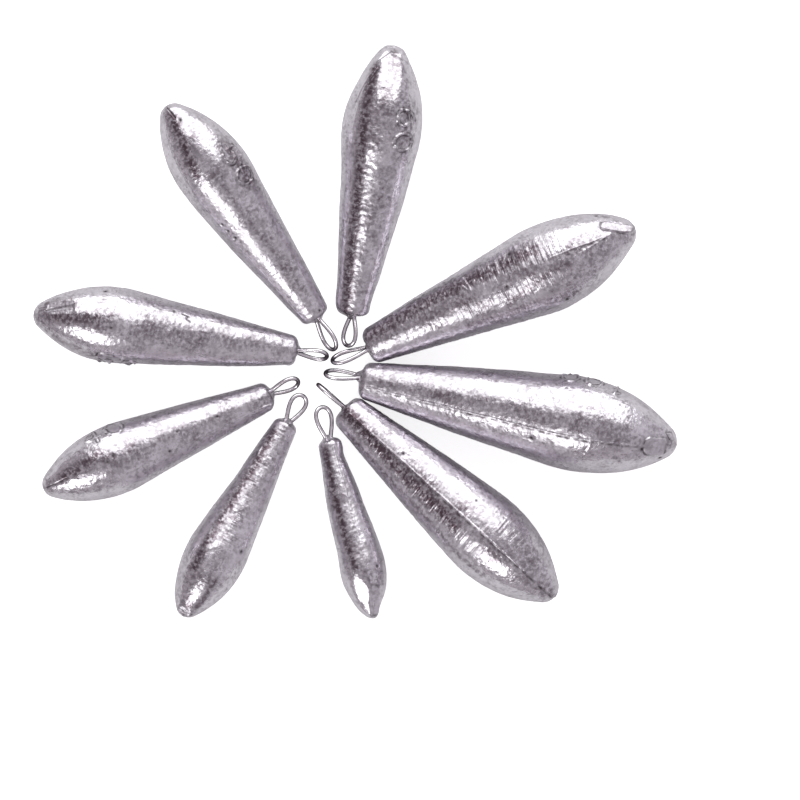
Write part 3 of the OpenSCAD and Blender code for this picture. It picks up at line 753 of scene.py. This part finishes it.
def wire_eye(weight):
    """One wire eye: a round section carried along the wire's line, with slightly uneven skin."""
    s = SINKERS[weight]
    line, run = wire_line(s)
    tangent = np.gradient(line, axis=0)
    tangent /= np.linalg.norm(tangent, axis=1, keepdims=True)
    across = np.stack([-tangent[:, 1], tangent[:, 0]], axis=-1)
    turns = np.arange(WIRE_SIDES) / WIRE_SIDES * 2 * math.pi
    side, up = np.cos(turns)[None, :], np.sin(turns)[None, :]
    along = run[:, None] / SKIN_DRAWN + 0 * side
    skin = np.stack([along, side + 0 * along, up + 0 * along], axis=-1)
    radius = WIRE / 2 + SKIN_HEIGHT * noise(skin, SKIN_SIZE, weight + SEEDS["wire"])
    x = line[:, 0, None] + radius * side * across[:, 0, None]
    y = line[:, 1, None] + radius * side * across[:, 1, None]
    tube = np.stack([x, y, radius * up], axis=-1)
    flat_line = np.concatenate([line, np.zeros((len(line), 1))], axis=1)[:, None, :]
    ends = [np.repeat(flat_line[k][None], WIRE_SIDES, axis=1) for k in (0, -1)]
    tube = np.concatenate([ends[0], tube, ends[1]])
    drawn = np.concatenate([skin[:1], skin, skin[-1:]])
    rolled = tube.copy()
    rolled[..., 1], rolled[..., 2] = turn(tube[..., 1], tube[..., 2], s["roll"])
    x, y = turn(rolled[..., 0], rolled[..., 1], 180 + s["bend"])
    level = np.stack([x, y + s["side"] * EYE_WIDTH, rolled[..., 2]], axis=-1)
    laid = lay_at_neck(level, weight, outline_facts(s))
    # How far each point of the wire faces up; the wire's material paints shade on the parts that face
    # sideways
    tilt = math.radians(s["roll"])
    crest = np.abs(math.sin(tilt) * side * across[:, 1, None] + math.cos(tilt) * up)
    crest = np.concatenate([crest[:1], crest, crest[-1:]])
    return closed_mesh("wire_eye_%dg" % weight, laid, dict(drawn=drawn, crest=crest))


class Nodes:
    """Adds nodes to a material or a world and links them by their sockets."""

    def __init__(self, owner):
        owner.use_nodes = True
        self.owner, self.tree = owner, owner.node_tree
        self.tree.nodes.clear()

    def add(self, kind, links=None, **settings):
        """Adds a node. Settings whose name is a socket set its value; the others are properties."""
        node = self.tree.nodes.new(kind)
        for key, value in settings.items():
            if key in node.inputs:
                node.inputs[key].default_value = value
            else:
                setattr(node, key, value)
        for socket, source in (links or {}).items():
            self.tree.links.new(source, node.inputs[socket])
        return node

    def attribute(self, name, kind="Fac"):
        """A value that the mesh carries."""
        return self.add("ShaderNodeAttribute", attribute_name=name).outputs[kind]

    def noise(self, vector, size, detail, roughness):
        """Noise whose waves have the given size, in the vector's own units."""
        return self.add("ShaderNodeTexNoise", {"Vector": vector}, Scale=1 / size, Detail=detail,
                        Roughness=roughness).outputs["Fac"]

    def maths(self, operation, first, second):
        """A sum, product or maximum of two sources, or of a source and a number."""
        node = self.add("ShaderNodeMath", {0: first}, operation=operation)
        if isinstance(second, float):
            node.inputs[1].default_value = second
        else:
            self.tree.links.new(second, node.inputs[1])
        return node.outputs[0]

    def spread(self, value, low, high, to_low, to_high):
        """Maps a value's range onto another one, clamped at both ends."""
        node = self.add("ShaderNodeMapRange", {0: value})
        for socket, number in zip(("From Min", "From Max", "To Min", "To Max"), (low, high, to_low, to_high)):
            node.inputs[socket].default_value = number
        return node.outputs["Result"]

    def blend_colour(self, share, first, second):
        """Mixes two colours, each one given or from a source, by a share."""
        node = self.add("ShaderNodeMix", {"Factor": share}, data_type="RGBA")
        for socket, colour in ((6, first), (7, second)):
            if isinstance(colour, tuple):
                node.inputs[socket].default_value = (*colour, 1.0)
            else:
                self.tree.links.new(colour, node.inputs[socket])
        return node.outputs[2]

    def blend_value(self, share, first, second):
        """Mixes a source and a number by a share."""
        node = self.add("ShaderNodeMix", {"Factor": share, 2: first}, data_type="FLOAT")
        node.inputs[3].default_value = second
        return node.outputs[0]

    def tint(self, tone, value, low, high, most, colour):
        """Blends a colour in as a value goes from low to high, up to the share called most."""
        return self.blend_colour(self.spread(value, low, high, 0.0, most), tone, colour)


def cast_lead_material():
    """Bright cast lead: silvery, a little purple, mottled, with tarnish, grime in its pits, and painted
    shade.

    Patterns that follow the mould are in millimetres, and those in space are in metres.
    """
    shader = Nodes(bpy.data.materials.new("cast_lead"))
    place = shader.add("ShaderNodeTexCoord").outputs["Object"]
    mould = shader.attribute("mould", "Vector")
    grime, cut, tarnish, scored, polish = (shader.attribute(name) for name in LEAD_VALUES)
    stretched = shader.add("ShaderNodeMapping", {"Vector": mould}, Scale=(1.0, 0.06, 0.06)).outputs["Vector"]
    rings = shader.noise(stretched, 0.30, 2.0, 0.55)
    squeezed = shader.add("ShaderNodeMapping", {"Vector": mould}, Scale=(1.0, 0.7, 0.7)).outputs["Vector"]
    blot = shader.noise(squeezed, 0.60, 4.0, 0.62)
    patch = shader.noise(place, 0.0045, 3.0, 0.6)
    stain = shader.noise(place, 0.0022, 3.0, 0.6)
    soot = shader.noise(place, 0.0034, 2.0, 0.6)
    mottle = shader.noise(place, 0.0010, 2.0, 0.5)
    fleck = shader.noise(place, 0.00064, 1.0, 0.5)
    speck = shader.noise(place, 0.0007, 1.0, 0.5)
    tone = shader.blend_colour(shader.spread(patch, 0.35, 0.65, 0.0, 1.0), BRIGHT, DIM)
    tone = shader.tint(tone, stain, 0.50, 0.68, 0.35, STAINED)
    sooty = shader.spread(soot, 0.40, 0.62, 0.15, 0.75)
    veil = shader.maths("ADD", shader.spread(tarnish, 0.0, 1.0, 0.0, 1.2), sooty)
    for pattern, colour in ((mottle, MOTTLED), (fleck, FLECKED)):
        dark = shader.maths("MULTIPLY", shader.spread(pattern, 0.52, 0.36, 0.0, 0.50), veil)
        tone = shader.blend_colour(dark, tone, colour)
    tone = shader.tint(tone, speck, 0.66, 0.72, 0.35, SPECKED)
    # Tarnish and painted shade darken the lead along its top and in its dark bands
    tone = shader.tint(tone, tarnish, 0.0, 1.0, 0.5, TARNISH_AND_SHADE_TONE)
    dark = shader.maths("MULTIPLY", shader.spread(blot, 0.57, 0.45, 0.0, 1.0), tarnish)
    tone = shader.blend_colour(dark, tone, BLOTTED)
    # Grime in pits, grooves and beside the seam, with painted shade at the figures' feet, the flats' rims and
    # one pit
    tone = shader.tint(tone, grime, 0.0, 0.9, 0.95, GRIME_AND_SHADE_TONE)
    tone = shader.tint(tone, cut, 0.0, 1.0, 0.4, FRESHLY_CUT)
    rough = shader.blend_value(polish, shader.spread(patch, 0.3, 0.7, 0.25, 0.34), 0.22)
    rough = shader.blend_value(cut, rough, 0.42)
    rough = shader.blend_value(grime, rough, 0.60)
    fine = shader.noise(place, 0.00080, 1.0, 0.5)
    skin = shader.maths("ADD", shader.maths("MULTIPLY", rings, scored), fine)
    bump = shader.add("ShaderNodeBump", {"Height": skin}, Strength=1.0, Distance=0.00008)
    surface = shader.add("ShaderNodeBsdfPrincipled",
                         {"Base Color": tone, "Roughness": rough, "Normal": bump.outputs["Normal"]},
                         Metallic=1.0)
    shader.add("ShaderNodeOutputMaterial", {"Surface": surface.outputs["BSDF"]})
    return shader.owner


def tinned_wire_material():
    """Tinned wire: smooth, dull in a few spots, with painted shade on its flanks that leaves its
    upward-facing crest bright.
    """
    shader = Nodes(bpy.data.materials.new("tinned_wire"))
    place = shader.add("ShaderNodeTexCoord").outputs["Object"]
    drawn = shader.attribute("drawn", "Vector")
    crest = shader.attribute("crest")
    dull = shader.noise(place, 0.0012, 2.0, 0.6)
    marks = shader.noise(drawn, 0.25, 2.0, 0.6)
    tone = shader.tint(WIRE_BRIGHT, dull, 0.45, 0.7, 0.8, WIRE_DULL)
    # Painted shade: the flanks, which face sideways rather than up, are darkened
    tone = shader.tint(tone, crest, 0.88, 0.55, 0.95, WIRE_FLANK_SHADE)
    rough = shader.spread(dull, 0.3, 0.7, 0.15, 0.28)
    bump = shader.add("ShaderNodeBump", {"Height": marks}, Strength=0.3, Distance=0.00003)
    surface = shader.add("ShaderNodeBsdfPrincipled",
                         {"Base Color": tone, "Roughness": rough, "Normal": bump.outputs["Normal"]},
                         Metallic=1.0, **{"Specular Tint": (0.35, 0.33, 0.36, 1.0)})
    shader.add("ShaderNodeOutputMaterial", {"Surface": surface.outputs["BSDF"]})
    return shader.owner


def table_material():
    """A matt white table. White is added for the camera, and a little in reflections and through glass."""
    shader = Nodes(bpy.data.materials.new("white_table"))
    matt = shader.add("ShaderNodeBsdfDiffuse", Color=(TABLE_MATT, TABLE_MATT, TABLE_MATT, 1.0))
    ray = shader.add("ShaderNodeLightPath").outputs
    seen = shader.maths("MAXIMUM", ray["Is Glossy Ray"], ray["Is Transmission Ray"])
    mirrored = shader.maths("MULTIPLY", seen, TABLE_MIRRORED)
    direct = shader.maths("MULTIPLY", ray["Is Camera Ray"], TABLE_DIRECT)
    strength = shader.maths("MAXIMUM", mirrored, direct)
    glow = shader.add("ShaderNodeEmission", {"Strength": strength}, Color=(*WHITE, 1.0))
    both = shader.add("ShaderNodeAddShader", {0: matt.outputs[0], 1: glow.outputs[0]})
    shader.add("ShaderNodeOutputMaterial", {"Surface": both.outputs[0]})
    return shader.owner


def add_camera():
    """A camera straight above the table, whose frame spans the photograph's width."""
    data = bpy.data.cameras.new("camera")
    data.lens, data.sensor_width = LENS, SENSOR
    camera = bpy.data.objects.new("camera", data)
    distance = VIEW_WIDTH * LENS / SENSOR
    camera.location = (*VIEW_MIDDLE, OUTLINE_HEIGHT + distance)
    data.clip_start, data.clip_end = 0.05, 10.0
    bpy.context.scene.collection.objects.link(camera)
    bpy.context.scene.camera = camera


def add_softbox(name, place, width, height, radiance):
    """A rectangular lamp that faces the middle of the star, with a given radiance."""
    data = bpy.data.lights.new(name, "AREA")
    data.shape = "RECTANGLE"
    data.size, data.size_y = width, height
    data.energy = radiance * math.pi * width * height
    data.color = LAMP_COLOUR
    lamp = bpy.data.objects.new(name, data)
    x, y, z = place
    lamp.location = place
    lean = math.atan2(math.hypot(x, y), z)
    lamp.rotation_euler = (lean, 0.0, math.atan2(y, x) + math.pi / 2)
    lamp.visible_camera = False
    bpy.context.scene.collection.objects.link(lamp)


def add_room():
    """A grey room, lighter towards its right and far sides, that the camera sees as white."""
    room = Nodes(bpy.data.worlds.new("room"))
    bpy.context.scene.world = room.owner
    where = room.add("ShaderNodeTexCoord").outputs["Generated"]
    towards = room.add("ShaderNodeVectorMath", {0: where}, operation="DOT_PRODUCT")
    towards.inputs[1].default_value = LIGHTER_WAY
    share = room.spread(towards.outputs["Value"], -0.5, 1.0, 0.0, 1.0)
    walls = room.blend_colour(share, DARK_WALL, LIGHT_WALL)
    seen = room.blend_colour(room.add("ShaderNodeLightPath").outputs["Is Camera Ray"], walls, WHITE)
    back = room.add("ShaderNodeBackground", {"Color": seen})
    room.add("ShaderNodeOutputWorld", {"Surface": back.outputs[0]})


def add_table():
    """The plain table that the sinkers lie on."""
    half = 3.0
    corners = [(-half, -half, 0), (half, -half, 0), (half, half, 0), (-half, half, 0)]
    mesh = bpy.data.meshes.new("table")
    mesh.from_pydata(corners, [], [(0, 1, 2, 3)])
    table = bpy.data.objects.new("table", mesh)
    table.data.materials.append(table_material())
    bpy.context.scene.collection.objects.link(table)


add_camera()
lead_finish = cast_lead_material()
wire_finish = tinned_wire_material()
for weight in SINKERS:
    body = "sinker_%dg" % weight
    lead_piece = casting(weight)
    lead_piece.data.materials.append(lead_finish)
    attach(lead_piece, body)
    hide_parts("lead_%dg" % weight)
    eye_piece = wire_eye(weight)
    eye_piece.data.materials.append(wire_finish)
    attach(eye_piece, body)
    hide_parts("eye_%dg" % weight)

add_table()
add_room()
for lamp_name, lamp in LAMPS.items():
    add_softbox(lamp_name, *lamp)
bpy.context.scene.view_settings.view_transform = "Standard"
